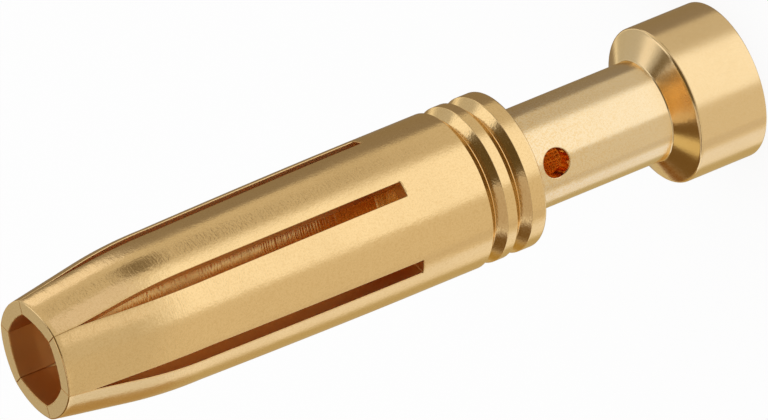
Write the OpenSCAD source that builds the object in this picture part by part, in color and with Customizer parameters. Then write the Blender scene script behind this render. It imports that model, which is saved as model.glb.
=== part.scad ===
// Crimp socket contact, turned from one bar, slotted and closed in to six spring tines.
// It stands on its crimp end, with the axis on Z and the mouth of the socket up.
// The inspection hole faces the front (-Y). All sizes are in millimetres and degrees.

/* [Bar] */
// diameter of the bar, which the head, the collar and the socket's body keep
bar_d = 4.25; // [4.1:0.05:4.6]
// width of the small chamfer on the turned outer edges
edge_break = 0.06; // [0.02:0.01:0.1]

/* [Crimp end] */
// length of the head's cylinder
head_len = 2.05; // [1.2:0.05:2.6]
// angle between the head's front cone and the axis
head_cone_angle = 63; // [45:1:75]
// diameter of the crimp barrel behind the collar
barrel_d = 2.75; // [2.4:0.05:3.2]
// distance from the crimp end to the collar's rear face, where the barrel ends
barrel_end = 6.85; // [5.5:0.05:9]
// diameter of the wire bore
wire_bore_d = 1.75; // [1.2:0.05:2]
// how far the wire bore's straight wall runs on past the barrel's end
wire_bore_past_barrel = 0.05; // [0:0.05:0.3]
// diameter of the lead-in funnel at the crimp end
funnel_d = 2.75; // [2.4:0.05:3.6]
// full angle of the lead-in funnel
funnel_angle = 90; // [60:5:120]
// diameter of the inspection hole
sight_hole_d = 0.78; // [0.5:0.01:1]
// distance from the inspection hole's centre to the collar's rear face
sight_hole_drop = 0.9; // [0.6:0.05:2]

/* [Identification grooves] */
// number of grooves, which tells the wire size
groove_count = 2; // [1:1:3]
// width of the collar behind the first groove
collar_w = 0.45; // [0.3:0.05:0.6]
// width of the ring left between two grooves
ring_w = 0.28; // [0.2:0.01:0.4]
// depth of a groove
groove_depth = 0.21; // [0.12:0.01:0.24]
// width of a groove's floor
groove_floor = 0.05; // [0.02:0.01:0.1]
// full angle between a groove's flanks
groove_angle = 90; // [70:5:100]

/* [Socket] */
// length of the plain seat between the last groove and the ends of the slots
seat_len = 2.13; // [1.8:0.01:4]
// diameter of the socket's bore before the tines are closed in
bore_d = 3.2; // [2.8:0.05:3.4]
// how far the bore runs on past the ends of the slots
bore_past_slots = 0.9; // [0.5:0.05:1.1]
// full angle of the drill's point, in both bores
drill_angle = 118; // [110:1:140]

/* [Tines] */
// number of tines
tine_count = 6; // [4:1:8]
// length of the slots from the mouth
slot_len = 10.4; // [6:0.05:14]
// width of a slot
slot_w = 0.42; // [0.3:0.01:0.5]
// outside diameter where the closed-in nose begins
nose_d = 4.09; // [3.95:0.01:4.2]

/* [Nose] */
// length over which the tines bend in and back again
nose_len = 3.6; // [3:0.05:4.5]
// length of the parallel lip at the mouth
lip_len = 0.45; // [0.2:0.05:0.8]
// radius of the outward bend that leads into the lip
lip_bend_r = 1; // [0.8:0.1:2]
// how much the lip's outside tapers in towards the mouth
lip_taper = 0.09; // [0.04:0.01:0.16]
// gap left between the tines where they are closed in
seam_gap = 0.025; // [0.02:0.005:0.1]

/* [Hidden] */
$fn = 120;
over = 1;
bar_r = bar_d / 2;
barrel_r = barrel_d / 2;
wire_r = wire_bore_d / 2;
funnel_r = funnel_d / 2;
bore_r = bore_d / 2;
nose_r = nose_d / 2;

// heights of the turned features, from the crimp end
head_cone_h = (bar_r - barrel_r) / tan(head_cone_angle);
funnel_h = (funnel_r - wire_r) / tan(funnel_angle / 2);
wire_bore_depth = barrel_end + wire_bore_past_barrel;
wire_point_h = wire_r / tan(drill_angle / 2);
sight_hole_z = barrel_end - sight_hole_drop;
collar_top = barrel_end + collar_w;
groove_flank = groove_depth * tan(groove_angle / 2);
groove_w = 2 * groove_flank + groove_floor;
groove_pitch = groove_w + ring_w;
seat_start = collar_top + groove_count * groove_pitch - ring_w;

// heights of the socket's features, from the crimp end
slot_root = seat_start + seat_len;
bore_bottom = slot_root - bore_past_slots;
bore_point_h = bore_r / tan(drill_angle / 2);
overall_len = slot_root + slot_len;
nose_start = overall_len - lip_len - nose_len;

// Each tine moves in until only the seam gap is left between neighbours. It turns in about a
// centre beyond the axis and turns back about a centre outside it, by the same angle.
half_pitch = 180 / tine_count;
closing = (slot_w - seam_gap) / (2 * sin(half_pitch));
nose_angle = round(20000 * atan(closing / nose_len)) / 10000;
lip_bend_x = nose_r + lip_bend_r;
nose_bend_x = nose_len / sin(nose_angle) - lip_bend_x;
bend_span = nose_bend_x + lip_bend_x;
lip_bend_centre = [bend_span * cos(nose_angle) - nose_bend_x, 0, bend_span * sin(nose_angle)];
lip_shift = lip_bend_centre - [lip_bend_x, 0, 0];

plating = [0.86, 0.70, 0.44];

// Half outline of one groove, from its lower edge to its upper edge.
function groove(z) = [
    [bar_r, z],
    [bar_r - groove_depth, z + groove_flank],
    [bar_r - groove_depth, z + groove_flank + groove_floor],
    [bar_r, z + groove_w]
];

// Moves in whole, thousandth and finer steps, so that the bends meet without a gap.
module place(v) {
    whole = [for (c = v) floor(c)];
    fine = [for (c = v - whole) floor(1000 * c) / 1000];
    translate(whole) translate(fine) translate(v - whole - fine) children();
}

// The turned outside, from the crimp end to where the tines bend in.
module turned_outside() {
    rotate_extrude()
        polygon(concat(
            [
                [0, 0],
                [bar_r - edge_break, 0],
                [bar_r, edge_break],
                [bar_r, head_len],
                [barrel_r, head_len + head_cone_h],
                [barrel_r, barrel_end],
                [bar_r - edge_break, barrel_end],
                [bar_r, barrel_end + edge_break]
            ],
            [for (k = [0 : groove_count - 1]) each groove(collar_top + k * groove_pitch)],
            [
                [bar_r, slot_root],
                [nose_r, nose_start],
                [0, nose_start]
            ]
        ));
}

// The wire bore with its lead-in funnel and drill point.
module wire_bore() {
    rotate_extrude()
        polygon([
            [0, -over],
            [funnel_r + over * tan(funnel_angle / 2), -over],
            [wire_r, funnel_h],
            [wire_r, wire_bore_depth],
            [0, wire_bore_depth + wire_point_h]
        ]);
}

// The socket's bore up to the nose, with its drill point.
module socket_bore() {
    rotate_extrude()
        polygon([
            [0, bore_bottom - bore_point_h],
            [bore_r, bore_bottom],
            [bore_r, nose_start + over],
            [0, nose_start + over]
        ]);
}

// The inspection hole, through the front wall of the barrel only.
module sight_hole() {
    translate([0, 0, sight_hole_z])
        rotate([90, 0, 0])
            cylinder(h = bar_r + over, d = sight_hole_d);
}

// Plan of the space that one tine keeps between its two slots, with the tine on +X.
module tine_plan() {
    reach = 2 * bar_r;
    apex = slot_w / (2 * sin(half_pitch));
    polygon([
        [apex, 0],
        [apex + reach * cos(half_pitch), -reach * sin(half_pitch)],
        [apex + reach * cos(half_pitch), reach * sin(half_pitch)]
    ]);
}

// Cross-section of one tine where the nose begins.
module tine_section() {
    intersection() {
        difference() {
            circle(r = nose_r);
            circle(r = bore_r);
        }
        tine_plan();
    }
}

// Repeats a tine's shape around the axis, with one tine over the inspection hole.
module each_tine() {
    for (k = [0 : tine_count - 1])
        rotate([0, 0, k * 360 / tine_count - 90]) children();
}

// The sawn slots: all the space that no tine keeps, down to the slots' square ends.
module slots() {
    difference() {
        translate([0, 0, slot_root]) cylinder(h = slot_len, r = bar_r + over);
        each_tine() linear_extrude(overall_len + over) tine_plan();
    }
}

// The parallel lip of one tine, with its turned taper outside.
module lip() {
    difference() {
        intersection() {
            cylinder(h = lip_len, r1 = nose_r, r2 = nose_r - lip_taper);
            linear_extrude(lip_len) tine_plan();
        }
        translate([0, 0, -over]) cylinder(h = lip_len + 2 * over, r = bore_r);
    }
}

// The closed-in end of one tine from the nose's start: bent in, bent back and ending in the lip.
module tine_nose() {
    place([-nose_bend_x, 0, 0])
        rotate([90, 0, 0])
            rotate_extrude(angle = nose_angle, start = 0, $fn = 720)
                place([nose_bend_x, 0, 0]) tine_section();
    place(lip_bend_centre)
        rotate([90, 0, 0])
            rotate_extrude(angle = nose_angle, start = 180, $fn = 720)
                place([lip_bend_x, 0, 0]) mirror([1, 0]) tine_section();
    place(lip_shift) lip();
}

module socket_contact() {
    color(plating) {
        difference() {
            turned_outside();
            wire_bore();
            sight_hole();
            socket_bore();
            slots();
        }
        translate([0, 0, nose_start]) each_tine() tine_nose();
    }
}

socket_contact();
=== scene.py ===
"""Dresses the crimp socket contact as one plated, turned piece and sets the stage for its picture.

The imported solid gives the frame: the contact stands on its crimp end, +Z runs to the mouth of the
socket and the inspection hole faces the front (-Y). The dressed piece has the solid's main sizes. Its
edges are rounded as turning, sawing and plating leave them, and its grooves, seams and nose are finer.
"""

import math
from collections import namedtuple

import bmesh
import bpy
import numpy as np
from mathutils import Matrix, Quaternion, Vector


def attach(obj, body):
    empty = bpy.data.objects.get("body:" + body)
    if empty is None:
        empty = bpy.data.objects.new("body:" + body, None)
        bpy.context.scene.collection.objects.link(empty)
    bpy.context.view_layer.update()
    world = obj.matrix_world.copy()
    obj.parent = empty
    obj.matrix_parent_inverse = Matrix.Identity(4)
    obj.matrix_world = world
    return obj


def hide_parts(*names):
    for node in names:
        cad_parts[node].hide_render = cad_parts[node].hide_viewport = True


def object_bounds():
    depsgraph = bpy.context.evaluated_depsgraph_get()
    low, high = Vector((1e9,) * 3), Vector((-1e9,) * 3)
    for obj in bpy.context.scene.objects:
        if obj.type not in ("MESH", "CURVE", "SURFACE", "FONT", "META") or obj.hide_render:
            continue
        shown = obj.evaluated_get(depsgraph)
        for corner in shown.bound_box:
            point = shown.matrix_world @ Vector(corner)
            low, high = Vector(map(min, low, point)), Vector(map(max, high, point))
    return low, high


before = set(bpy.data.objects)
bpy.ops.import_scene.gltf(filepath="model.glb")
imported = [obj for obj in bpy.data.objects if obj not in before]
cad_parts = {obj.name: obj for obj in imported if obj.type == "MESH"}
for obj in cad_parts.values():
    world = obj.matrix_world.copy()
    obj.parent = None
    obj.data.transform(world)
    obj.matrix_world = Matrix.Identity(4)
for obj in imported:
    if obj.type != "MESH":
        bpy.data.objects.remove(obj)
cad_low, cad_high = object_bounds()

bl_info = {
    "name": "Crimp socket contact",
    "version": (1, 0, 0),
    "blender": (4, 5, 0),
    "location": "3D View > Sidebar > Contact",
    "description": "Builds a turned and plated crimp socket contact and its stage",
    "category": "Add Mesh",
}

MM = 0.001
CAD_NODE = "socket_contact"
BODY = "root"


def length(name, description, millimetres):
    """A length property with its default given in millimetres."""
    return bpy.props.FloatProperty(
        name=name, description=description, default=millimetres * MM, unit="LENGTH", precision=5
    )


def angle(name, description, degrees):
    """An angle property with its default given in degrees."""
    return bpy.props.FloatProperty(
        name=name, description=description, default=math.radians(degrees), unit="ROTATION"
    )


def tone(name, description, linear):
    """A colour property with its default in linear red, green and blue."""
    return bpy.props.FloatVectorProperty(
        name=name, description=description, default=linear, size=3, subtype="COLOR", min=0, max=1
    )


def amount(name, description, value):
    """A plain number between 0 and 1."""
    return bpy.props.FloatProperty(name=name, description=description, default=value, min=0, max=1)


class ContactSizes(bpy.types.PropertyGroup):
    """Sizes of the turned piece."""

    total_length: length("Length", "From the crimp end to the mouth", (cad_high.z - cad_low.z) / MM)
    bar_diameter: length("Bar", "Diameter of the bar that the contact is turned from", 4.25)
    head_length: length("Head", "Length of the cylinder at the crimp end", 2.05)
    head_cone: angle("Head cone", "Angle between the head's front cone and the axis", 63)
    barrel_diameter: length("Barrel", "Diameter of the crimp barrel", 2.75)
    barrel_end: length("Barrel end", "Height of the collar's rear face", 6.85)
    wire_bore: length("Wire bore", "Diameter of the bore for the wire", 1.75)
    wire_depth: length("Wire depth", "Depth of the wire bore's straight wall", 6.9)
    funnel_diameter: length("Funnel", "Diameter of the lead-in at the crimp end", 2.75)
    sight_hole: length("Inspection hole", "Diameter of the hole through the barrel's wall", 0.78)
    sight_height: length("Hole height", "Height of the inspection hole's centre", 5.95)
    collar_width: length("Collar", "Width of the collar behind the first groove", 0.45)
    ring_width: length("Ring", "Width of the ring between two grooves", 0.28)
    groove_depth: length("Groove depth", "Depth of an identification groove", 0.228)
    groove_floor: length("Groove floor", "Width of a groove's floor", 0.014)
    groove_count: bpy.props.IntProperty(
        name="Grooves", description="Number of identification grooves", default=2, min=1, max=3
    )
    socket_bore: length("Socket bore", "Diameter of the socket's bore before closing in", 3.2)
    bore_past_slots: length("Bore past slots", "How far the bore runs on below the slots", 0.9)
    drill_point: angle("Drill point", "Full angle of the drill's point in both bores", 118)
    tine_count: bpy.props.IntProperty(
        name="Tines", description="Number of spring tines", default=6, min=4, max=8
    )
    slot_length: length("Slots", "Length of the slots from the mouth", 10.4)
    slot_width: length("Slot width", "Width of a slot before closing in", 0.42)
    seam_gap: length("Seam", "Gap between the tines where they are closed in", 0.008)
    nose_diameter: length("Nose", "Outside diameter where the tines bend in", 4.09)
    nose_length: length("Nose length", "Length over which the tines bend in and back", 3.4)
    nose_straight: length("Nose straight", "Straight stretch between the bends in and back", 1.2)
    lip_length: length("Lip", "Length of the parallel lip at the mouth", 0.65)
    lip_bend: length("Lip bend", "Radius of the outward bend that leads into the lip", 0.4)
    nose_gain: length("Nose gain", "How much thicker the tines' wall gets along the nose", 0.04)
    mouth_flat: length("Mouth flat", "How far the tines' inner faces are pressed in at the mouth", 0.045)


class ContactEdges(bpy.types.PropertyGroup):
    """Radii of the rounded edges."""

    crimp_rim: length("Crimp rim", "Outer edge of the crimp end", 0.045)
    head_rim: length("Head rim", "Edge between the head and its cone", 0.11)
    barrel_root: length("Barrel root", "Fillet where the barrel meets head and collar", 0.05)
    collar_rim: length("Collar rim", "Rear edge of the collar", 0.07)
    groove_rim: length("Groove rim", "Edges of the grooves", 0.035)
    groove_root: length("Groove root", "Corners of a groove's floor", 0.006)
    funnel_rim: length("Funnel rim", "Edges of the lead-in funnel", 0.05)
    hole_rim: length("Hole rim", "Edges of the inspection hole", 0.03)
    slot_rim: length("Slot rim", "Outer edges of the sawn slots", 0.02)
    seam_rim: length("Seam rim", "Outer edges of the tines along the closed seams", 0.012)
    inner_rim: length("Inner rim", "Inner edges of slots and seams", 0.012)
    mouth_rim: length("Mouth rim", "Outer edge of the lip at the mouth", 0.035)


class ContactFinish(bpy.types.PropertyGroup):
    """Colours and marks of the plating."""

    plating: tone("Plating", "Colour of the gold on the socket and the head", (1.0, 0.716, 0.352))
    pale_plating: tone("Pale plating", "Colour of the gold on the barrel", (1.0, 0.795, 0.495))
    thin_plating: tone("Thin plating", "Colour of the gold where it is thinner", (0.93, 0.645, 0.30))
    # The bores' colour is partly thinner gold and partly painted shade of the bores, slots and mouth
    bored_and_shaded_plating: tone("Bored plating", "Colour of the thin gold inside the bores", (0.78, 0.46, 0.175))
    sheen: amount("Roughness", "Roughness of the plated surface", 0.17)
    sheen_change: amount("Roughness change", "How much the roughness changes from place to place", 0.1)
    edge_tint: tone("Edge tint", "Colour of the gold seen at a flat angle", (1.0, 0.88, 0.62))
    bored_sheen: amount("Bored roughness", "Roughness of the burnished bore at the mouth", 0.42)
    reamed_sheen: amount("Reamed roughness", "Roughness at the inspection hole and above it", 0.06)
    ring_pitch: length("Turning marks", "Distance between the fine turning marks", 0.05)
    ring_depth: length("Mark depth", "Depth of the fine turning marks", 0.0008)
    bore_pitch: length("Boring marks", "Distance between the boring marks inside", 0.07)
    bore_depth: length("Boring depth", "Depth of the boring marks inside", 0.014)
    grain_size: length("Grain", "Size of the plating's fine grain", 0.05)
    grain_depth: length("Grain depth", "Height of the plating's fine grain", 0.0019)
    mottle_size: length("Mottling", "Size of the plating's coarser mottling", 0.16)
    mottle_depth: length("Mottle depth", "Height of the coarser mottling", 0.0032)


class StageSettings(bpy.types.PropertyGroup):
    """Camera, floor and light."""

    azimuth: angle("Azimuth", "Direction of the camera round the contact", 17.1)
    elevation: angle("Elevation", "Height of the camera above the horizon", 26.1)
    roll: angle("Roll", "Turn of the camera about its line of sight", -112.3)
    distance: length("Distance", "From the camera to the point it looks at", 380)
    view_width: length("View width", "Width of the view at that point", 19.6)
    aim_height: length("Aim height", "Height on the axis of the point looked at", 10.373)
    aim_side: length("Aim side", "How far that point lies to the right of the axis", 0.1635)
    floor_half: length("Floor", "Half the floor's width", 1500)
    floor_glow: amount("Floor glow", "Share of the floor's white that does not depend on light", 0.87)
    floor_white: amount("Floor paint", "Share of the floor's white that takes the shadow", 0.13)
    card_distance: length("Card distance", "From the contact to the reflector cards", 400)


# Angles are in degrees, and directions start at the camera's azimuth. Later cards lie nearer and cover
# the earlier ones. The cards are glowing sheets, not lamps: they light nothing and are seen only as
# reflections in the plating. They paint its light and dark bands, and some paint a set light or dark
# reflection on one part: the grooves, the nose, its bend and the head's cone.
Card = namedtuple("Card", "name west east low high fade colour")
CARDS = (
    Card("left_gap", -136, -92, -85, 6, 8, (0.84, 0.85, 0.93)),
    Card("left_grey", -101, -20, -85, 38, 8, (0.675, 0.615, 0.51)),
    Card("left_dip", -92, -75, -85, 38, 5, (0.61, 0.55, 0.46)),
    Card("right_grey", 45, 118, -85, 30, 18, (0.59, 0.543, 0.46)),
    Card("dark_flag", 99, 190, -85, 3, 6, (0.265, 0.23, 0.195)),
    Card("warm_back", -178, -124, -85, 5, 10, (0.505, 0.455, 0.335)),
    Card("front_grey", -40, 70, -22, 50, 15, (0.57, 0.53, 0.45)),
    Card("nose_grey", -86, -22, -16, 2, 7, (0.575, 0.525, 0.43)),
    Card("nose_left", -126, -96, -20, -6, 5, (0.70, 0.72, 0.79)),
    Card("nose_low", -168, -120, -24, -8, 6, (0.42, 0.31, 0.17)),
    # A painted highlight along the nose
    Card("nose_highlight", 93, 122, -19, -2, 6, (0.94, 0.91, 0.92)),
    Card("nose_glow", 32, 66, -15, 0, 7, (0.72, 0.68, 0.68)),
    Card("nose_line", -8, 14, -14, 0, 6, (0.80, 0.76, 0.72)),
    Card("bend_dark", 57, 87, -24, -8.5, 7, (0.15, 0.115, 0.07)),
    Card("groove_left", -99, -14, 17, 33, 5, (0.12, 0.09, 0.05)),
    Card("groove_right", 56, 108, 19, 32, 5, (0.16, 0.12, 0.07)),
    Card("left_top", -108, -24, 34, 68, 6, (0.49, 0.42, 0.34)),
    Card("zenith", -180, 180, 66, 100, 8, (0.45, 0.29, 0.10)),
    Card("top_flag", -29, 83, 40, 78, 6, (0.10, 0.07, 0.028)),
    Card("camera_dark", -24, 62, 8, 48, 6, (0.11, 0.085, 0.05)),
    Card("right_top", 92, 150, 53, 69, 4, (0.14, 0.105, 0.055)),
    Card("right_back", 111, 168, 4, 59.5, 6, (0.50, 0.49, 0.47)),
    Card("right_band", 112, 151, 37, 53, 4, (0.93, 0.91, 0.90)),
    Card("back_grey", 154, 210, 0, 62, 8, (0.49, 0.485, 0.48)),
    Card("left_back_top", -172, -102, 12, 75, 6, (0.155, 0.09, 0.03)),
    Card("left_back_band", -152, -112, 40, 59, 6, (0.66, 0.53, 0.27)),
    Card("left_back_low", -162, -120, -3, 17, 5, (0.39, 0.265, 0.075)),
    Card("cone_end", -177, -153, -1, 21, 5, (0.18, 0.07, 0.008)),
)

# Steps of the grids: round the contact, along a tine, round the inspection hole and on a card
TINE_STEPS = 28
SLOT_STEPS = 8
FILLET_STEPS = 5
CORNER_STEPS = 6
STRAIGHT_STATIONS = 12
BEND_STATIONS = 28
NOSE_STATIONS = 8
LIP_BEND_STATIONS = 8
LIP_STATIONS = 4
HOLE_ROWS = 22
PATCH_STEPS = 7
CARD_STEPS = 24

# Places of a wall's points, as shares of the way to its middle or to its far side
WALL_SHARES = np.array([0.12, 0.5, 1.0])
WALL_STEPS = len(WALL_SHARES)
HOLE_WALL_SHARES = (0.08, 0.35, 0.65, 0.92)

# Distances of support points from rounded edges, as a share of half an arc or in radii of the edge
ARC_SUPPORT = 0.03
CORNER_SUPPORT = 0.4
RIM_SUPPORT = 2

# How the tines taper, what the bend takes of the nose's gain, and how edges follow the rounded mouth
TINE_TAPER_POWER = 1.6
BEND_GAIN = 0.5
INNER_SHARE = 0.45
SEAM_SHARE = 0.35
LEAST_FILLET = 0.1

# How the patches' rows crowd towards the inspection hole, and how near points are welded
PATCH_POWER = 0.7
WELD = 1e-7

# How far walls inside take the bores' colour, where 1 is the mouth, and where the boring marks end
# The bores' colour is partly thinner gold and partly painted shade of the bores, slots and mouth
WIRE_BORED_AND_SHADED = 0.25
SOCKET_BORED_AND_SHADED = 0.12
SLOT_BORED_AND_SHADED = 0.7
MARKS_END = 0.24

# The plating's noise, and the noise heights between which its specks, patches and sheen change
NOISE_DETAIL = 2.0
BORING_DETAIL = 1.0
DRIFT_SIZE = 2 * MM
SPECKS_FROM = 0.38
SPECKS_FULL = 0.72
PATCHES_FROM = 0.27
PATCHES_FULL = 0.45
PATCH_STRENGTH = 0.25
SHEEN_FROM = 0.3
SHEEN_FULL = 0.7

# How pale and how coarse the plating is on the head and the faced mouth, and over what lengths
HEAD_PALE = 0.4
PALE_RISE = 1 * MM
PALE_FALL = 0.1 * MM
HEAD_COARSE = 0.3
COARSE_RISE = 1 * MM
FACED_COARSE = 0.3
FACED_FROM = 0.05 * MM
FACED_FULL = 0.01 * MM

# The stage: spacing of the cards, strength of the light, clipping in camera distances, reflections
CARD_STAGGER = 0.01
LIGHT_STRENGTH = 0.9
CLIP_NEAR = 0.1
CLIP_FAR = 20
GLOSSY_BOUNCES = 12


def grid_quads(index):
    """The four corners of every cell in a grid of point numbers."""
    corners = [index[:-1, :-1], index[:-1, 1:], index[1:, 1:], index[1:, :-1]]
    return np.stack(corners, axis=-1).reshape(-1, 4)


class Skin:
    """Grids of points that are welded into one closed surface."""

    def __init__(self):
        self.points = []
        self.bored = []
        self.quads = []
        self.count = 0

    def add(self, grid, bored=0.0, around=False):
        """Adds a grid of points, row by row. With around, the last column joins the first.

        The bored value is 0 on the outside. In a bore or a sawn slot it says how far the wall takes the
        bores' colour, up to 1 at the mouth. That darker, redder gold is partly thinner plating and
        partly painted shade of the recess.
        """
        rows, columns = grid.shape[:2]
        index = self.count + np.arange(rows * columns).reshape(rows, columns)
        if around:
            index = np.concatenate([index, index[:, :1]], axis=1)
        self.quads.append(grid_quads(index))
        self.points.append(grid.reshape(-1, 3))
        self.bored.append(np.broadcast_to(bored, (rows, columns)).ravel())
        self.count += rows * columns

    def piece(self, name):
        """Makes the object: welds the grids, closes the poles and turns the faces outwards."""
        mesh = bpy.data.meshes.new(name)
        mesh.from_pydata(np.concatenate(self.points), [], np.concatenate(self.quads))
        inside = mesh.attributes.new("bored", "FLOAT", "POINT")
        inside.data.foreach_set("value", np.concatenate(self.bored).astype(np.float32))
        work = bmesh.new()
        work.from_mesh(mesh)
        bmesh.ops.remove_doubles(work, verts=work.verts, dist=WELD)
        bmesh.ops.recalc_face_normals(work, faces=work.faces)
        open_edges = sum(1 for edge in work.edges if len(edge.link_faces) != 2)
        work.to_mesh(mesh)
        work.free()
        if open_edges:
            raise RuntimeError(f"{name} has {open_edges} edges that are not closed")
        mesh.polygons.foreach_set("use_smooth", np.ones(len(mesh.polygons), bool))
        mesh.update()
        made = bpy.data.objects.new(name, mesh)
        bpy.context.scene.collection.objects.link(made)
        return made


def unit(vector):
    """The vector at length one."""
    return vector / np.linalg.norm(vector)


def rounded(corners, radii):
    """A line through corners of radius and height, with an arc in place of each inner corner.

    An arc's centre lies on the corner's bisector, at the arc's radius from both sides. A point of
    support stands a little before and after each arc, so that flat stretches stay flat.
    """
    corners = np.asarray(corners, float)
    share = np.linspace(0, 1, CORNER_STEPS + 1)[:, None]
    line = [corners[:1]]
    for before, corner, after, radius in zip(corners[:-2], corners[1:-1], corners[2:], radii):
        back = unit(before - corner)
        ahead = unit(after - corner)
        half = math.acos(np.dot(back, ahead)) / 2
        turn = math.pi - 2 * half
        reach = radius / math.tan(half)
        centre = corner + unit(back + ahead) * radius / math.sin(half)
        start = corner + back * reach
        end = corner + ahead * reach
        weights = [np.sin((1 - share) * turn), np.sin(share * turn)]
        arc = centre + (weights[0] * (start - centre) + weights[1] * (end - centre)) / math.sin(turn)
        support = CORNER_SUPPORT * radius
        line += [[start + back * support], arc, [end + ahead * support]]
    line.append(corners[-1:])
    return np.concatenate(line)


def turned(profile, angles):
    """A profile turned about Z: x = r cos a, y = r sin a, with the height kept."""
    radius = profile[:, :1]
    height = profile[:, 1:]
    return np.stack(
        [radius * np.cos(angles), radius * np.sin(angles), height + 0 * angles], axis=-1
    )


def tine_centres(sizes):
    """Directions of the tines' middles. The first tine is over the inspection hole."""
    return -math.pi / 2 + 2 * math.pi * np.arange(sizes.tine_count) / sizes.tine_count


def arc_shares():
    """Even shares from -1 to 1, with a support point close to both ends."""
    inner = np.linspace(-1 + ARC_SUPPORT, 1 - ARC_SUPPORT, TINE_STEPS - 1)
    return np.concatenate([[-1], inner, [1]])


def ring_angles(sizes, radius, offset):
    """Directions of all columns at a radius, slot by slot and tine by tine.

    A slot's columns lie at even distances from its middle plane, up to offset on both sides. A
    tine's columns share out the arc that is left between two slots.
    """
    half_pitch = math.pi / sizes.tine_count
    edge = math.asin(offset / radius)
    slot = -half_pitch + np.arcsin(np.linspace(-1, 1, SLOT_STEPS + 1)[:-1] * offset / radius)
    tine = (half_pitch - edge) * arc_shares()[:-1]
    return (tine_centres(sizes)[:, None] + np.concatenate([slot, tine])).ravel()


Face = namedtuple("Face", "direction radii gaps")


def tine_face(half_pitch, radius, middle, half_gap, fillet):
    """One face of a tine in section, from the middle of one slot wall to that of the other.

    Every input has one value for each station along the tine. A point is given by its direction,
    its radius and its distance from the slot's middle plane. On the arc the radius is constant. On
    the fillet both radius and distance run along a quarter circle. On the wall the distance is
    constant and the radius runs to the middle of the wall.
    """
    inward = np.sign(middle - radius)
    quarter = np.linspace(0, math.pi / 2, FILLET_STEPS + 1)
    edge_radius = radius + inward * fillet * (1 - np.cos(quarter))
    edge_gap = half_gap + fillet * (1 - np.sin(quarter))
    wall_start = edge_radius[:, -1:]
    wall_radius = wall_start + WALL_SHARES * (middle - wall_start)
    side_radius = np.concatenate([edge_radius, wall_radius], axis=1)
    side_gap = np.concatenate([edge_gap, half_gap + 0 * WALL_SHARES], axis=1)
    side = half_pitch - np.arcsin(side_gap / side_radius)
    arc = side[:, :1] * arc_shares()[1:-1]
    direction = np.concatenate([-side[:, ::-1], arc, side], axis=1)
    radii = np.concatenate([side_radius[:, ::-1], radius + 0 * arc, side_radius], axis=1)
    gaps = np.concatenate([side_gap[:, ::-1], half_gap + fillet + 0 * arc, side_gap], axis=1)
    return Face(direction, radii, gaps)


def pressed(face, flat):
    """A tine's face pressed in towards the axis: its radius at direction a loses flat (1 - a a / A A).

    A is the largest direction in the section. So the middle moves in by flat, and the sides hardly move.
    """
    edge = face.direction.max(axis=1, keepdims=True)
    return face._replace(radii=face.radii - flat * (1 - (face.direction / edge) ** 2))


def ease(share):
    """Smooth step from 0 to 1: 3 s s - 2 s s s."""
    share = np.clip(share, 0, 1)
    return share * share * (3 - 2 * share)


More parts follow.
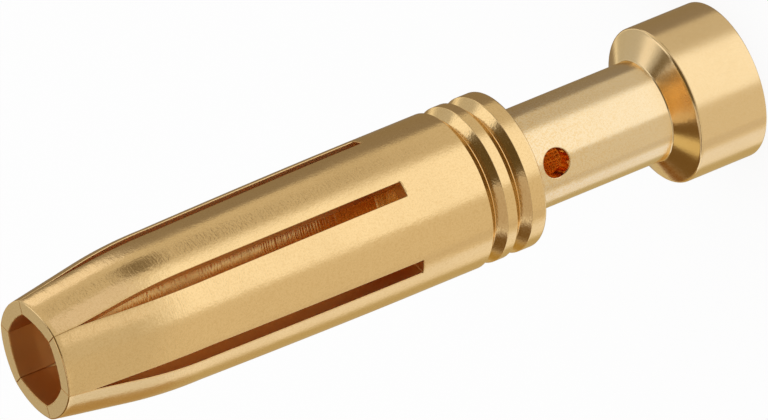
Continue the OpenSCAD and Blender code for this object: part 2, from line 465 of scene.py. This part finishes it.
class TinePath:
    """Stations along a tine: place and tilt of the section, its two radii, half gap and fillets.

    From the slots' ends the section rises straight. It then turns inwards about a centre beyond the
    axis, runs on straight, turns back by the same angle about a centre outside, and ends in the
    parallel lip. The wall gets a little thicker along the nose, and from the straight stretch on the
    outside keeps one slope up to the mouth. Along the nose the inner face is pressed in and takes
    more of the bores' colour, which there is partly thinner gold and partly painted shade inside the
    mouth. Over the last stations the section shrinks along a quarter circle, which rounds the mouth.
    """

    def __init__(self, sizes, edges):
        half_pitch = math.pi / sizes.tine_count
        root = sizes.total_length - sizes.slot_length
        nose = sizes.total_length - sizes.lip_length - sizes.nose_length
        bar = sizes.bar_diameter / 2
        outer = sizes.nose_diameter / 2
        closing = (sizes.slot_width - sizes.seam_gap) / (2 * math.sin(half_pitch))
        bend = 2 * math.atan(closing / (sizes.nose_length + sizes.nose_straight))
        sine = math.sin(bend)
        cosine = math.cos(bend)
        span = (sizes.nose_length - sizes.nose_straight * cosine) / sine
        back_reach = outer + sizes.lip_bend
        reach = span - back_reach

        # Stations along the straight rise, the bend in, the straight nose, the bend back and the lip
        rise = np.linspace(root, nose, STRAIGHT_STATIONS + 1)
        rise = np.insert(rise, 1, root + RIM_SUPPORT * edges.slot_rim)
        turn_in = np.linspace(0, bend, BEND_STATIONS + 1)[1:]
        along = np.linspace(0, sizes.nose_straight, NOSE_STATIONS + 1)[1:]
        turn_back = np.linspace(bend, 0, LIP_BEND_STATIONS + 1)[1:]
        parallel = np.linspace(0, sizes.lip_length - edges.mouth_rim, LIP_STATIONS + 1)[1:]
        quarter = np.linspace(0, math.pi / 2, FILLET_STEPS + 1)[1:]
        rim = sizes.lip_length - edges.mouth_rim * (1 - np.sin(quarter))
        lip = np.concatenate([parallel, rim])

        # Tilt and place of the section, about the centres of the two bends
        centre_x = span * cosine - reach - sizes.nose_straight * sine
        centre_z = nose + span * sine + sizes.nose_straight * cosine
        self.tilt = np.concatenate([0 * rise, turn_in, bend + 0 * along, turn_back, 0 * lip])
        self.shift = np.concatenate([
            0 * rise,
            reach * (np.cos(turn_in) - 1),
            reach * (cosine - 1) - along * sine,
            centre_x - back_reach * np.cos(turn_back),
            centre_x - back_reach + 0 * lip,
        ])
        self.height = np.concatenate([
            rise,
            nose + reach * np.sin(turn_in),
            nose + reach * sine + along * cosine,
            centre_z - back_reach * np.sin(turn_back),
            centre_z + lip,
        ])

        # Outer radius: tapered on the rise, thicker along the nose, then on one slope to the mouth
        cone = len(rise) + len(turn_in)
        lead = cone + len(along)
        self.outer = np.full(len(self.tilt), outer)
        taper = ((rise - root) / (nose - root)) ** TINE_TAPER_POWER
        bend_gain = BEND_GAIN * sizes.nose_gain
        self.outer[:len(rise)] += (bar - outer) * (1 - taper)
        self.outer[len(rise):cone] += bend_gain * turn_in / bend
        self.outer[cone:lead] += bend_gain + (sizes.nose_gain - bend_gain) * along / sizes.nose_straight
        edge_x = self.shift + self.outer * np.cos(self.tilt)
        edge_z = self.height + self.outer * np.sin(self.tilt)
        slope = (edge_x[cone] - edge_x[lead - 1]) / (edge_z[lead - 1] - edge_z[cone])
        left = edge_x[lead - 1] - self.shift - (self.height - edge_z[lead - 1]) * slope
        line = left / (np.cos(self.tilt) + np.sin(self.tilt) * slope)
        self.outer[lead:] = line[lead:]

        # Rounding of the mouth, which the radii, the gap and the fillets follow
        shrink = np.zeros(len(self.tilt))
        shrink[-len(rim):] = edges.mouth_rim * (1 - np.cos(quarter))
        self.outer = self.outer - shrink
        self.inner = sizes.socket_bore / 2 + INNER_SHARE * shrink
        self.middle = (self.outer + self.inner) / 2
        self.half_gap = sizes.slot_width / 2 + SEAM_SHARE * shrink
        closed = ease(-self.shift / closing)
        outer_fillet = edges.slot_rim + (edges.seam_rim - edges.slot_rim) * closed
        self.outer_fillet = np.maximum(outer_fillet - shrink, LEAST_FILLET * edges.slot_rim)
        self.inner_fillet = np.maximum(edges.inner_rim - shrink, LEAST_FILLET * edges.inner_rim)

        # The inner face along the nose
        # Share of the nose towards the mouth: it presses the inner face in and gives it more of the
        # bores' colour, which there is partly thinner gold and partly painted shade inside the mouth
        burnished_and_shaded = ease((self.height - nose) / sizes.nose_length)
        self.bored = (SOCKET_BORED_AND_SHADED + (1 - SOCKET_BORED_AND_SHADED) * burnished_and_shaded)[:, None]
        self.flat = (sizes.mouth_flat * burnished_and_shaded)[:, None]
        self.half_pitch = half_pitch
        self.root = root

    def face(self, radius, fillet):
        """The tine's outer or inner face at all stations."""
        columns = [radius, self.middle, self.half_gap, fillet]
        return tine_face(self.half_pitch, *[values[:, None] for values in columns])

    def place(self, direction, radii, gaps):
        """Sections set on the path, with the tine's middle on +X.

        The section's own x is turned by the tilt, x = shift + x cos t, z = height + x sin t. At the
        slots' ends each point is lowered by its distance from the wall, so that the rounded edges
        of slot wall and slot end meet on a mitre.
        """
        along = radii * np.cos(direction)
        across = radii * np.sin(direction)
        z = self.height[:, None] + along * np.sin(self.tilt)[:, None]
        z[0] -= gaps[0] - self.half_gap[0]
        x = self.shift[:, None] + along * np.cos(self.tilt)[:, None]
        return np.stack([x, across, z], axis=-1)


def spun(points, turn):
    """Points turned about Z by an angle."""
    cosine = math.cos(turn)
    sine = math.sin(turn)
    return points @ np.array([[cosine, sine, 0], [-sine, cosine, 0], [0, 0, 1]])


def lip_cap(outer, inner):
    """The flat end of a tine: straight across from its outer to its inner face.

    Its two sides are the points of the slot walls.
    """
    half = np.concatenate([[0], WALL_SHARES]) / 2
    across = np.concatenate([half, 1 - half[-2::-1]])[:, None, None]
    face = slice(WALL_STEPS, len(outer) - WALL_STEPS)
    cap = outer[face] * (1 - across) + inner[face] * across
    cap[:, 0] = np.concatenate([outer[WALL_STEPS::-1], inner[1:WALL_STEPS + 1]])
    cap[:, -1] = np.concatenate([outer[-WALL_STEPS - 1:], inner[-2:-WALL_STEPS - 2:-1]])
    return cap


def add_tines(skin, sizes, path):
    """The tines' outer and inner faces, caps on their lips and the ends of the slots between them.

    A slot's end runs across the slot at the wall's own radii, x = sqrt(R R - y y), and is lowered at
    its rounded edges as the tines' sections are.
    """
    outside = path.face(path.outer, path.outer_fillet)
    inside = pressed(path.face(path.inner, path.inner_fillet), path.flat)
    outer_grid = path.place(*outside)
    inner_grid = path.place(*inside)
    cap = lip_cap(outer_grid[-1], inner_grid[-1])

    side = FILLET_STEPS + WALL_STEPS
    radii = np.concatenate([outside.radii[0][-side - 1:], inside.radii[0][::-1][1:side + 1]])
    gaps = np.concatenate([outside.gaps[0][-side - 1:], inside.gaps[0][::-1][1:side + 1]])
    lateral = np.linspace(-1, 1, SLOT_STEPS + 1) * gaps[:, None]
    depth = np.sqrt(radii[:, None] ** 2 - lateral ** 2)
    drop = path.root - (gaps[:, None] - path.half_gap[0]) + 0 * lateral
    slot_end = np.stack([depth, lateral, drop], axis=-1)

    # The sawn slot walls take much of the bores' colour: partly thinner gold and partly painted shade of
    # the narrow slots
    sawn = np.zeros(outer_grid.shape[1])
    sawn[:WALL_STEPS] = SLOT_BORED_AND_SHADED
    sawn[-WALL_STEPS:] = SLOT_BORED_AND_SHADED
    for centre in tine_centres(sizes):
        skin.add(spun(outer_grid, centre), bored=sawn)
        skin.add(spun(inner_grid, centre), bored=np.maximum(path.bored, sawn))
        skin.add(spun(cap, centre))
        skin.add(spun(slot_end, centre + path.half_pitch), bored=SLOT_BORED_AND_SHADED)


def hole_patch(angles, radius, low, high, centre_height):
    """Border of the window that the inspection hole cuts out of a turned wall, seen along the hole.

    Goes round the window's columns and rows. Gives the border's points across and along the axis,
    from the hole's centre.
    """
    across = radius * np.sin(angles + math.pi / 2)
    rows = np.linspace(low, high, HOLE_ROWS + 1) - centre_height
    columns = len(across)
    x = np.concatenate([
        across[:-1],
        np.full(HOLE_ROWS, across[-1]),
        across[:0:-1],
        np.full(HOLE_ROWS, across[0]),
    ])
    z = np.concatenate([
        np.full(columns - 1, rows[0]),
        rows[:-1],
        np.full(columns - 1, rows[-1]),
        rows[:0:-1],
    ])
    return x, z


def add_sight_hole(skin, sizes, edges, angles, low, high):
    """The wall of the inspection hole and the two patches that join it to barrel and bore.

    A patch runs straight from the window's border to the hole's rounded edge, as seen along the
    hole, and lies on its cylinder: y = -sqrt(R R - x x). The edge is a quarter circle in radius and
    depth, and the wall runs straight between the two edges.
    """
    barrel = sizes.barrel_diameter / 2
    bore = sizes.wire_bore / 2
    hole = sizes.sight_hole / 2
    rim = edges.hole_rim
    share = np.linspace(0, 1, PATCH_STEPS + 1)[:, None] ** PATCH_POWER
    quarter = np.linspace(0, math.pi / 2, FILLET_STEPS + 1)[1:, None]
    reach = hole + rim * (1 - np.sin(quarter))
    depth = rim * (1 - np.cos(quarter))
    sides = []
    for radius, sink in ((barrel, -1), (bore, 1)):
        x, z = hole_patch(angles, radius, low, high, sizes.sight_height)
        round_x = np.cos(np.arctan2(z, x))
        round_z = np.sin(np.arctan2(z, x))
        flat_x = x + share * ((hole + rim) * round_x - x)
        flat_z = z + share * ((hole + rim) * round_z - z)
        all_x = np.concatenate([flat_x, reach * round_x])
        all_z = np.concatenate([flat_z, reach * round_z])
        sunk = np.concatenate([0 * share, sink * depth])
        y = -(np.sqrt(radius ** 2 - all_x ** 2) + sunk)
        sides.append(np.stack([all_x, y, all_z + sizes.sight_height], axis=-1))
    outer, inner = sides
    wall_share = np.array(HOLE_WALL_SHARES)[:, None, None]
    wall = outer[-1] * (1 - wall_share) + inner[-1] * wall_share
    skin.add(outer, around=True)
    skin.add(np.concatenate([outer[-1:], wall, inner[-1:]]), bored=WIRE_BORED_AND_SHADED, around=True)
    skin.add(inner, bored=WIRE_BORED_AND_SHADED, around=True)


def add_turning(skin, sizes, edges):
    """All that is turned about the axis: both bores and the outside up to the slots.

    Each stretch is a rounded profile of radius and height, turned about Z. Round the inspection
    hole a window is left open, as wide as one tine and the slots beside it, and the hole's own
    patches fill it. The wire's entry below that window is plated as the outside is.
    """
    bar = sizes.bar_diameter / 2
    barrel = sizes.barrel_diameter / 2
    wire = sizes.wire_bore / 2
    funnel = sizes.funnel_diameter / 2
    socket = sizes.socket_bore / 2
    point = 1 / math.tan(sizes.drill_point / 2)
    cone = (bar - barrel) / math.tan(sizes.head_cone)
    root = sizes.total_length - sizes.slot_length
    shoulder = root - edges.slot_rim
    offset = sizes.slot_width / 2 + edges.slot_rim

    angles = ring_angles(sizes, bar, offset)
    last = 2 * SLOT_STEPS + TINE_STEPS
    window = angles[:last + 1]
    rest = np.concatenate([angles[last:], angles[:1]])
    half_window = wire * math.sin(window[-1] + math.pi / 2)
    low = sizes.sight_height - half_window
    high = sizes.sight_height + half_window
    rows = np.linspace(low, high, HOLE_ROWS + 1)

    wire_end = [(0, sizes.wire_depth + wire * point), (wire, sizes.wire_depth), (wire, high)]
    skin.add(turned(rounded(wire_end, [edges.barrel_root]), angles), bored=WIRE_BORED_AND_SHADED, around=True)
    entry = [(wire, low), (wire, funnel - wire), (funnel, 0)]
    entry_rim = [edges.funnel_rim]
    outside = [
        (bar, 0),
        (bar, sizes.head_length),
        (barrel, sizes.head_length + cone),
        (barrel, low),
    ]
    outside_rims = [edges.funnel_rim, edges.crimp_rim, edges.head_rim, edges.barrel_root]
    skin.add(turned(rounded(entry + outside, entry_rim + outside_rims), angles), around=True)
    for radius, bored in ((wire, WIRE_BORED_AND_SHADED), (barrel, 0.0)):
        band = np.stack([np.full(len(rows), radius), rows], axis=1)
        skin.add(turned(band, rest), bored=bored)
    add_sight_hole(skin, sizes, edges, window, low, high)

    front = [(barrel, high), (barrel, sizes.barrel_end), (bar, sizes.barrel_end)]
    front_rims = [edges.barrel_root, edges.collar_rim]
    height = sizes.barrel_end + sizes.collar_width
    floor = bar - sizes.groove_depth
    for _ in range(sizes.groove_count):
        top = height + 2 * sizes.groove_depth + sizes.groove_floor
        front += [
            (bar, height),
            (floor, height + sizes.groove_depth),
            (floor, top - sizes.groove_depth),
            (bar, top),
        ]
        front_rims += [edges.groove_rim, edges.groove_root, edges.groove_root, edges.groove_rim]
        height = top + sizes.ring_width
    front.append((bar, shoulder))
    front_line = rounded(front, front_rims)
    support = [[bar, shoulder - RIM_SUPPORT * edges.slot_rim]]
    front_line = np.concatenate([front_line[:-1], support, front_line[-1:]])
    skin.add(turned(front_line, angles), around=True)

    bottom = root - sizes.bore_past_slots
    pocket = [(socket, root - edges.inner_rim), (socket, bottom), (0, bottom - socket * point)]
    columns = ring_angles(sizes, socket, sizes.slot_width / 2 + edges.inner_rim)
    skin.add(turned(rounded(pocket, [edges.barrel_root]), columns), bored=SOCKET_BORED_AND_SHADED, around=True)


class Nodes:
    """Short calls for building a node tree."""

    def __init__(self, tree):
        self.tree = tree

    def new(self, kind, settings=None, **inputs):
        """A node with its settings, and its inputs set or linked by name."""
        node = self.tree.nodes.new(kind)
        for key, value in (settings or {}).items():
            setattr(node, key, value)
        for key, value in inputs.items():
            self.feed(node.inputs[key.replace("_", " ")], value)
        return node

    def feed(self, socket, value):
        """Links a socket to another one, or sets its value."""
        if isinstance(value, bpy.types.NodeSocket):
            self.tree.links.new(value, socket)
        else:
            socket.default_value = value

    def math(self, operation, *values):
        """The result of a math node."""
        node = self.tree.nodes.new("ShaderNodeMath")
        node.operation = operation
        for socket, value in zip(node.inputs, values):
            self.feed(socket, value)
        return node.outputs[0]

    def blend(self, factor, first, second):
        """A colour between two colours."""
        node = self.tree.nodes.new("ShaderNodeMix")
        node.data_type = "RGBA"
        self.feed(node.inputs["Factor"], factor)
        self.feed(node.inputs["A"], first)
        self.feed(node.inputs["B"], second)
        return node.outputs["Result"]

    def between(self, value, low, high, start, end):
        """A value carried smoothly from one range to another."""
        settings = {"interpolation_type": "SMOOTHSTEP"}
        node = self.new("ShaderNodeMapRange", settings, Value=value)
        ends = {"From Min": low, "From Max": high, "To Min": start, "To Max": end}
        for name, number in ends.items():
            self.feed(node.inputs[name], number)
        return node.outputs["Result"]

    def noise(self, dimensions, scale, detail, **where):
        """A noise texture's height."""
        settings = {"noise_dimensions": dimensions}
        node = self.new("ShaderNodeTexNoise", settings, Scale=scale, Detail=detail, **where)
        return node.outputs["Fac"]


def new_material(name):
    """An empty node material and its builder."""
    material = bpy.data.materials.new(name)
    material.use_nodes = True
    material.node_tree.nodes.clear()
    return material, Nodes(material.node_tree)


def rgba(colour):
    """A colour with full alpha."""
    return (*colour, 1.0)


def plated_gold(sizes, finish):
    """Satin gold over turned metal, with turning marks, boring marks, specks and grain.

    It is paler on the barrel, finer on the head and on the faced mouth, deeper in colour and rougher
    inside towards the mouth, and smooth at the inspection hole and the wire bore's end. The deeper
    colour inside the bores, the slots and the mouth is partly thinner gold and partly painted shade
    of those recesses.
    """
    material, nodes = new_material("plated_gold")
    place = nodes.new("ShaderNodeTexCoord").outputs["Object"]
    axes = nodes.new("ShaderNodeSeparateXYZ", Vector=place).outputs
    bored = nodes.new("ShaderNodeAttribute", {"attribute_name": "bored"}).outputs["Fac"]
    squares = [nodes.math("MULTIPLY", axes[name], axes[name]) for name in ("X", "Y")]
    radius = nodes.math("SQRT", nodes.math("ADD", *squares))
    travel = nodes.math("ADD", radius, axes["Z"])

    drift = nodes.noise("3D", 1 / DRIFT_SIZE, NOISE_DETAIL, Vector=place)
    grain = nodes.noise("3D", 1 / finish.grain_size, NOISE_DETAIL, Vector=place)
    mottle = nodes.noise("3D", 1 / finish.mottle_size, NOISE_DETAIL, Vector=place)
    rings = nodes.noise("1D", 1 / finish.ring_pitch, NOISE_DETAIL, W=travel)
    bores = nodes.noise("1D", 1 / finish.bore_pitch, BORING_DETAIL, W=travel)

    head = sizes.head_length
    collar = sizes.barrel_end
    rise = nodes.between(axes["Z"], head, head + PALE_RISE, HEAD_PALE, 1.0)
    fall = nodes.between(axes["Z"], collar, collar + PALE_FALL, 1.0, 0.0)
    pale = nodes.math("MULTIPLY", rise, fall)
    coarse = nodes.between(axes["Z"], head, collar + COARSE_RISE, HEAD_COARSE, 1.0)
    grainy = nodes.between(grain, SPECKS_FROM, SPECKS_FULL, 0.0, 1.0)
    specks = nodes.math("MULTIPLY", grainy, coarse)
    cloudy = nodes.math("MULTIPLY", mottle, drift)
    patches = nodes.between(cloudy, PATCHES_FROM, PATCHES_FULL, 0.0, PATCH_STRENGTH)
    gold = nodes.blend(pale, rgba(finish.plating), rgba(finish.pale_plating))
    gold = nodes.blend(nodes.math("MAXIMUM", specks, patches), gold, rgba(finish.thin_plating))
    # Darker, redder gold inside bores, slots and mouth: partly thinner plating and partly painted shade
    # of the recesses
    gold = nodes.blend(bored, gold, rgba(finish.bored_and_shaded_plating))

    low_sheen = finish.sheen - finish.sheen_change / 2
    high_sheen = finish.sheen + finish.sheen_change / 2
    rough = nodes.between(drift, SHEEN_FROM, SHEEN_FULL, low_sheen, high_sheen)
    rough = nodes.between(bored, 0.0, 1.0, rough, finish.bored_sheen)
    inside = nodes.between(bored, 0.0, SOCKET_BORED_AND_SHADED, 0.0, 1.0)
    below = nodes.between(axes["Z"], collar, sizes.wire_depth, 1.0, 0.0)
    reamed = nodes.math("MULTIPLY", inside, below)
    rough = nodes.between(reamed, 0.0, 1.0, rough, finish.reamed_sheen)

    marks = nodes.math("MULTIPLY", rings, finish.ring_depth)
    unworn = nodes.between(bored, SOCKET_BORED_AND_SHADED, MARKS_END, 1.0, 0.0)
    marked = nodes.math("MULTIPLY", inside, unworn)
    boring = nodes.math("MULTIPLY", nodes.math("MULTIPLY", bores, marked), finish.bore_depth)
    grains = nodes.math("MULTIPLY", grain, finish.grain_depth)
    mottling = nodes.math("MULTIPLY", mottle, finish.mottle_depth)
    mouth = sizes.total_length
    faced = nodes.between(axes["Z"], mouth - FACED_FROM, mouth - FACED_FULL, 1.0, FACED_COARSE)
    outside = nodes.math("SUBTRACT", 1.0, inside)
    shown = nodes.math("MULTIPLY", outside, nodes.math("MULTIPLY", coarse, faced))
    skin = nodes.math("MULTIPLY", nodes.math("ADD", grains, mottling), shown)
    relief = nodes.math("ADD", nodes.math("ADD", marks, boring), skin)
    bump = nodes.new("ShaderNodeBump", Strength=1.0, Distance=1.0, Height=relief)
    shader = nodes.new("ShaderNodeBsdfPrincipled", Metallic=1.0, Base_Color=gold, Roughness=rough,
                       Specular_Tint=rgba(finish.edge_tint), Normal=bump.outputs["Normal"])
    nodes.new("ShaderNodeOutputMaterial", Surface=shader.outputs["BSDF"])
    return material


class ContactOperator:
    """What both operators share."""

    bl_options = {"REGISTER", "UNDO"}


class CONTACT_OT_plated_contact(ContactOperator, bpy.types.Operator):
    """Builds the whole contact as one closed, plated surface"""

    bl_idname = "contact.plated_contact"
    bl_label = "Plated contact"

    def execute(self, context):
        sizes = context.scene.contact_sizes
        edges = context.scene.contact_edges
        skin = Skin()
        add_turning(skin, sizes, edges)
        add_tines(skin, sizes, TinePath(sizes, edges))
        contact = skin.piece("plated_contact")
        contact.data.materials.append(plated_gold(sizes, context.scene.contact_finish))
        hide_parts(CAD_NODE)
        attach(contact, BODY)
        return {"FINISHED"}


def grid_object(name, points, fade=None):
    """An open sheet from a grid of points, with an optional attribute that fades it out."""
    rows, columns = points.shape[:2]
    index = np.arange(rows * columns).reshape(rows, columns)
    mesh = bpy.data.meshes.new(name)
    mesh.from_pydata(points.reshape(-1, 3), [], grid_quads(index))
    if fade is not None:
        mesh.attributes.new("fade", "FLOAT", "POINT").data.foreach_set("value", fade.ravel())
    mesh.update()
    sheet = bpy.data.objects.new(name, mesh)
    bpy.context.scene.collection.objects.link(sheet)
    return sheet


def seen_white(nodes):
    """One for rays from the camera, from gloss or through glass, and zero for all others."""
    path = nodes.new("ShaderNodeLightPath").outputs
    seen = nodes.math("MAXIMUM", path["Is Camera Ray"], path["Is Glossy Ray"])
    return nodes.math("MAXIMUM", seen, path["Is Transmission Ray"])


def make_floor(stage):
    """A white floor. Most of its white glows by itself, and the rest takes the contact's shadow."""
    half = stage.floor_half
    x, y = np.meshgrid([-half, half], [-half, half])
    floor = grid_object("floor", np.stack([x, y, 0 * x], axis=-1))
    material, nodes = new_material("white_floor")
    paint = nodes.new("ShaderNodeBsdfDiffuse", Color=rgba([stage.floor_white] * 3))
    glow_strength = nodes.math("MULTIPLY", seen_white(nodes), stage.floor_glow)
    glow = nodes.new("ShaderNodeEmission", Color=rgba([1.0] * 3), Strength=glow_strength)
    both = nodes.new("ShaderNodeAddShader")
    nodes.feed(both.inputs[0], paint.outputs[0])
    nodes.feed(both.inputs[1], glow.outputs[0])
    nodes.new("ShaderNodeOutputMaterial", Surface=both.outputs[0])
    floor.data.materials.append(material)
    floor.visible_glossy = False


def make_world():
    """A white surrounding. As light it is a little weaker than the white that is seen."""
    world = bpy.data.worlds.new("white_surrounding")
    world.use_nodes = True
    world.node_tree.nodes.clear()
    nodes = Nodes(world.node_tree)
    strength = nodes.between(seen_white(nodes), 0.0, 1.0, LIGHT_STRENGTH, 1.0)
    white = nodes.new("ShaderNodeBackground", Color=rgba([1.0] * 3), Strength=strength)
    nodes.new("ShaderNodeOutputWorld", Surface=white.outputs[0])
    bpy.context.scene.world = world


def make_card(card, stage, centre, distance):
    """A glowing card on a sphere round the contact, which paints a light or dark reflection: a grid of
    azimuth and elevation.

    It fades out towards its borders over its fade angle.
    """
    west, east = np.radians([card.west, card.east]) + stage.azimuth
    low, high = np.radians([card.low, card.high])
    azimuth = np.linspace(west, east, CARD_STEPS + 1)
    elevation = np.linspace(low, high, CARD_STEPS + 1)[:, None]
    fade = math.radians(card.fade)
    sideways = ease(np.minimum(azimuth - west, east - azimuth) / fade)
    upright = ease(np.minimum(elevation - low, high - elevation) / fade)
    direction = np.stack([
        np.sin(azimuth) * np.cos(elevation),
        -np.cos(azimuth) * np.cos(elevation),
        np.sin(elevation) + 0 * azimuth,
    ], axis=-1)
    sheet = grid_object(card.name, centre + distance * direction, sideways * upright)
    material, nodes = new_material(card.name)
    shown = nodes.new("ShaderNodeAttribute", {"attribute_name": "fade"}).outputs["Fac"]
    glow = nodes.new("ShaderNodeEmission", Color=rgba(card.colour), Strength=1.0)
    clear = nodes.new("ShaderNodeBsdfTransparent")
    mix = nodes.new("ShaderNodeMixShader", Fac=shown)
    nodes.feed(mix.inputs[1], clear.outputs[0])
    nodes.feed(mix.inputs[2], glow.outputs[0])
    nodes.new("ShaderNodeOutputMaterial", Surface=mix.outputs[0])
    sheet.data.materials.append(material)
    # The card paints only reflections: the camera, diffuse light and shadows do not see it
    sheet.visible_camera = False
    sheet.visible_diffuse = False
    sheet.visible_transmission = False
    sheet.visible_volume_scatter = False
    sheet.visible_shadow = False


def make_camera(stage):
    """A long lens at the photograph's angle, rolled so that the contact lies across the picture."""
    back = Vector((
        math.sin(stage.azimuth) * math.cos(stage.elevation),
        -math.cos(stage.azimuth) * math.cos(stage.elevation),
        math.sin(stage.elevation),
    ))
    side = Vector((math.cos(stage.azimuth), math.sin(stage.azimuth), 0))
    aim = Vector((0, 0, stage.aim_height)) + side * stage.aim_side
    data = bpy.data.cameras.new("camera")
    data.lens = data.sensor_width * stage.distance / stage.view_width
    data.clip_start = CLIP_NEAR * stage.distance
    data.clip_end = CLIP_FAR * stage.distance
    camera = bpy.data.objects.new("camera", data)
    camera.location = aim + back * stage.distance
    camera.rotation_mode = "QUATERNION"
    upright = (-back).to_track_quat("-Z", "Y")
    camera.rotation_quaternion = upright @ Quaternion((0, 0, 1), stage.roll)
    bpy.context.scene.collection.objects.link(camera)
    bpy.context.scene.camera = camera


class CONTACT_OT_stage(ContactOperator, bpy.types.Operator):
    """Sets the floor, the light, the glowing cards that paint reflections, and the camera"""

    bl_idname = "contact.stage"
    bl_label = "Stage"

    def execute(self, context):
        stage = context.scene.contact_stage
        middle = np.array([0, 0, context.scene.contact_sizes.total_length / 2])
        make_floor(stage)
        make_world()
        for place, card in enumerate(CARDS):
            make_card(card, stage, middle, stage.card_distance * (1 - CARD_STAGGER * place))
        make_camera(stage)
        context.scene.view_settings.view_transform = "Standard"
        context.scene.cycles.glossy_bounces = GLOSSY_BOUNCES
        return {"FINISHED"}


class CONTACT_PT_panel(bpy.types.Panel):
    """Lists the contact's operators and values"""

    bl_label = "Crimp socket contact"
    bl_space_type = "VIEW_3D"
    bl_region_type = "UI"
    bl_category = "Contact"

    def draw(self, context):
        for operator in OPERATORS:
            self.layout.operator(operator.bl_idname)
        for name, group in GROUPS.items():
            box = self.layout.box()
            for key in group.__annotations__:
                box.prop(getattr(context.scene, name), key)


GROUPS = {
    "contact_sizes": ContactSizes,
    "contact_edges": ContactEdges,
    "contact_finish": ContactFinish,
    "contact_stage": StageSettings,
}
OPERATORS = (CONTACT_OT_plated_contact, CONTACT_OT_stage)
CLASSES = (*GROUPS.values(), *OPERATORS, CONTACT_PT_panel)


def register():
    """Registers the classes and hangs the groups of values on the scene."""
    for cls in CLASSES:
        bpy.utils.register_class(cls)
    for name, group in GROUPS.items():
        setattr(bpy.types.Scene, name, bpy.props.PointerProperty(type=group))


def unregister():
    """Takes the groups of values and the classes away again."""
    for name in GROUPS:
        delattr(bpy.types.Scene, name)
    for cls in reversed(CLASSES):
        bpy.utils.unregister_class(cls)


def main():
    """Builds the contact and its stage."""
    register()
    bpy.ops.contact.plated_contact()
    bpy.ops.contact.stage()


if __name__ == "__main__":
    main()
